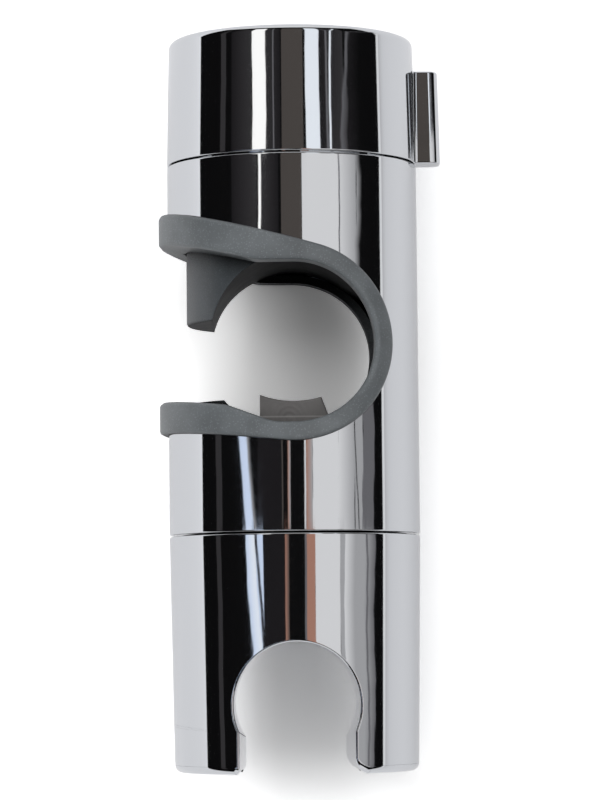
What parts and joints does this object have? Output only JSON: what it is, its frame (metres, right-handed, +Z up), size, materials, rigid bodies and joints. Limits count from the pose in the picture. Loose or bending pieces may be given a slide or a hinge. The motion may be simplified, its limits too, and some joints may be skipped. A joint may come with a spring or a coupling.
{
  "type": "shower rail slider",
  "caption": "Cylindrical slider that clamps on a vertical shower rail, with a turning cap and thumb tab, a C-shaped lined bore and a swivelling keyhole seat for the handset.",
  "frame": {"origin": "centre of the rail bore, on the cylinder's axis", "axes": "+Z up the rail, +X along the cylinder towards the turning cap, +Y out of the bore's side mouth towards the wall"},
  "size_m": [0.1169, 0.0452, 0.0428],
  "materials": {
    "chrome_shell": "polished chrome plate over moulded plastic",
    "liner_plastic": "blue-grey moulded plastic, fine satin grain",
    "jaw_plastic": "dark grey moulded plastic, satin",
    "pad_plastic": "brown-grey moulded plastic, matt",
    "white_acetal": "natural moulded acetal",
    "plain_steel": "plain stainless steel",
    "insert_brass": "turned brass",
    "black_rubber": "black moulded rubber"
  },
  "bodies": {
    "body": {"body_shell": "chrome_shell", "rail_liner": "liner_plastic", "pad_carrier": "liner_plastic", "end_plate": "liner_plastic", "carrier_screws": "plain_steel", "swivel_bush": "white_acetal", "cap_clip": "plain_steel", "neck_seal": "black_rubber"},
    "cap": {"lock_cap": "chrome_shell", "cam_sleeve": "white_acetal"},
    "jaw": {"clamp_jaw": "jaw_plastic", "cam_pins": "plain_steel"},
    "pad": {"rail_pad": "pad_plastic", "pad_springs": "plain_steel"},
    "holder": {"handset_holder": "chrome_shell", "swivel_screw": "plain_steel", "disc_spring": "plain_steel", "thrust_washer": "plain_steel", "threaded_insert": "insert_brass", "friction_ring": "black_rubber"}
  },
  "joints": [
    {"name": "cap_turn", "type": "hinge", "parent": "body", "child": "cap", "pos_m": [0, 0, 0], "axis": [1, 0, 0], "range_deg": [-25.5, 175.7]},
    {"name": "jaw_slide", "type": "slide", "parent": "body", "child": "jaw", "axis": [1, 0, 0], "range_m": [-0.0018, 0.0124]},
    {"name": "pad_slide", "type": "slide", "parent": "body", "child": "pad", "axis": [1, 0, 0], "range_m": [-0.0039, 0], "stiffness_N_per_m": 1200, "springref_m": 0.002, "deforming": ["pad_springs"]},
    {"name": "holder_swivel", "type": "hinge", "parent": "body", "child": "holder", "pos_m": [-0.0297, 0, 0], "axis": [1, 0, 0], "continuous": true}
  ],
  "couplings": [
    {"joint": "jaw_slide", "follows": "cap_turn", "m_per_rad": 0.0040425}
  ]
}
